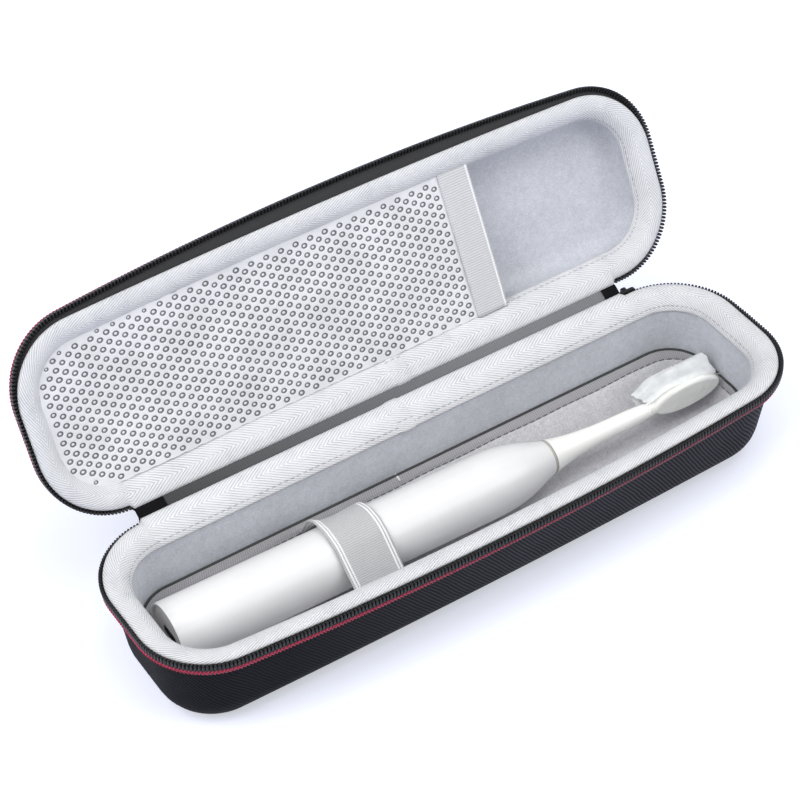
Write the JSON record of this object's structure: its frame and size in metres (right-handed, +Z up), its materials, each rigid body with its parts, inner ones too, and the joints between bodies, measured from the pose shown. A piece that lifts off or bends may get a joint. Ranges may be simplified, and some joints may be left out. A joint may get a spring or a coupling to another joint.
{
  "type": "electric toothbrush travel case",
  "caption": "Zippered hard-shell travel case, hinged lid with mesh pocket, holding strap and electric toothbrush",
  "frame": {"origin": "middle of the tray's flat underside, on the surface it rests on", "axes": "+X along the case towards the brush head's end, +Y towards the hinge, +Z up"},
  "size_m": [0.268, 0.1319, 0.1167],
  "materials": {
    "case_fabric": "fine diagonal twill",
    "lining_fabric": "short brushed velvet",
    "binding_fabric": "herringbone twill tape",
    "zipper_fabric": "woven tape with a row of stitches",
    "zipper_coil": "moulded coil",
    "pad_fabric": "brushed knit with a piped edge",
    "elastic_fabric": "ribbed elastic",
    "hinge_fabric": "ribbed woven strip",
    "tab_fabric": "woven tab",
    "mesh_fabric": "knitted mesh with hexagonal holes",
    "slider_metal": "semi-gloss enamel",
    "handle_plastic": "soft satin",
    "cap_plastic": "moulded satin",
    "port_plastic": "moulded",
    "inner_plastic": "moulded",
    "battery_wrap": "shrink wrap",
    "motor_can": "turned steel",
    "board_resin": "coated board",
    "window_plastic": "translucent",
    "seal_rubber": "moulded rubber",
    "button_rubber": "moulded rubber",
    "head_plastic": "satin moulding",
    "bristle_nylon": "tufted filaments",
    "clear_film": "thin clear film"
  },
  "bodies": {
    "tray": {"tray_shell": "case_fabric", "tray_lining": "lining_fabric", "tray_binding_tape": "binding_fabric", "tray_zipper_tape": "zipper_fabric", "tray_zipper_chain": "zipper_coil", "floor_pad": "pad_fabric", "holding_strap": "elastic_fabric", "hinge_strip": "hinge_fabric", "hinge_tab_left": "tab_fabric", "hinge_tab_right": "tab_fabric"},
    "lid": {"lid_shell": "case_fabric", "lid_lining": "lining_fabric", "lid_binding_tape": "binding_fabric", "lid_zipper_tape": "zipper_fabric", "lid_zipper_chain": "zipper_coil", "mesh_pocket": "mesh_fabric", "pocket_elastic_band": "elastic_fabric"},
    "slider": {"zipper_slider": "slider_metal"},
    "pull": {"zipper_pull": "slider_metal"},
    "handle": {"handle_housing": "handle_plastic", "base_cap": "cap_plastic", "charging_port": "port_plastic", "inner_chassis": "inner_plastic", "battery_cell": "battery_wrap", "drive_motor": "motor_can", "circuit_board": "board_resin", "switch_dome": "motor_can", "indicator_window": "window_plastic", "seal_ring": "seal_rubber"},
    "button": {"power_button": "button_rubber"},
    "head": {"drive_shaft": "motor_can", "brush_head": "head_plastic", "bristle_block": "bristle_nylon", "head_film": "clear_film"}
  },
  "joints": [
    {"name": "lid_hinge", "type": "hinge", "parent": "tray", "child": "lid", "pos_m": [0, 0.03875, 0.0439], "axis": [-1, 0, 0], "range_deg": [-118, 62], "deforming": ["hinge_strip", "hinge_tab_left", "hinge_tab_right"]},
    {"name": "slider_turn", "type": "hinge", "parent": "tray", "child": "slider", "pos_m": [0.1055, 0.00825, 0.0401], "axis": [0, 0, -1], "range_deg": [0, 90]},
    {"name": "pull_swing", "type": "hinge", "parent": "slider", "child": "pull", "pos_m": [0.1055, 0.039, 0.0401], "axis": [1, 0, 0], "range_deg": [0, 50]},
    {"name": "brush_lift", "type": "slide", "parent": "tray", "child": "handle", "axis": [0, 0, 1], "range_m": [0, 0.06], "deforming": ["holding_strap"]},
    {"name": "power_press", "type": "slide", "parent": "handle", "child": "button", "axis": [-0.022, -0.9998, 0], "range_m": [0, 0.0005], "stiffness_N_per_m": 2000, "springref_m": -0.0005},
    {"name": "head_oscillation", "type": "hinge", "parent": "handle", "child": "head", "pos_m": [0.04126, -0.00072, 0.0203], "axis": [0.9998, -0.022, 0], "range_deg": [-4, 4], "stiffness_Nm_per_rad": 0.5}
  ]
}
